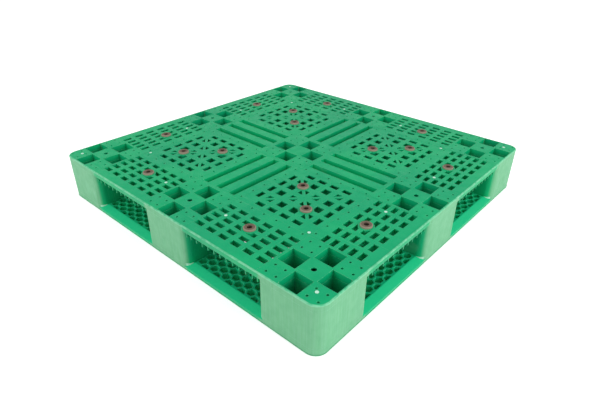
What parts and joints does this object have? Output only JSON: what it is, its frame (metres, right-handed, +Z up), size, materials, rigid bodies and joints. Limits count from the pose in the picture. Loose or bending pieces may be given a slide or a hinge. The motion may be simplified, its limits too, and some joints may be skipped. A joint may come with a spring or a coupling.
{
  "type": "plastic pallet",
  "caption": "Square plastic pallet: a perforated grid deck on hollow posts over a base frame with wheel openings, with rubber plugs that keep the load from sliding; forks enter from every side.",
  "frame": {"origin": "on the floor, under the middle of the pallet", "axes": "+Z up, +X and +Y along the sides of the square; the front is at -Y"},
  "size_m": [1.1, 1.1, 0.155],
  "materials": {
    "green_plastic": "satin, fine moulded grain",
    "grip_rubber": "dull brown-red rubber"
  },
  "bodies": {
    "root": {"upper_deck": "green_plastic", "base_frame": "green_plastic", "front_left_post": "green_plastic", "left_post": "green_plastic", "back_left_post": "green_plastic", "front_post": "green_plastic", "center_post": "green_plastic", "back_post": "green_plastic", "front_right_post": "green_plastic", "right_post": "green_plastic", "back_right_post": "green_plastic", "grip_plug_01": "grip_rubber", "grip_plug_02": "grip_rubber", "grip_plug_03": "grip_rubber", "grip_plug_04": "grip_rubber", "grip_plug_05": "grip_rubber", "grip_plug_06": "grip_rubber", "grip_plug_07": "grip_rubber", "grip_plug_08": "grip_rubber", "grip_plug_09": "grip_rubber", "grip_plug_10": "grip_rubber", "grip_plug_11": "grip_rubber", "grip_plug_12": "grip_rubber", "grip_plug_13": "grip_rubber", "grip_plug_14": "grip_rubber", "grip_plug_15": "grip_rubber", "grip_plug_16": "grip_rubber"}
  },
  "joints": []
}
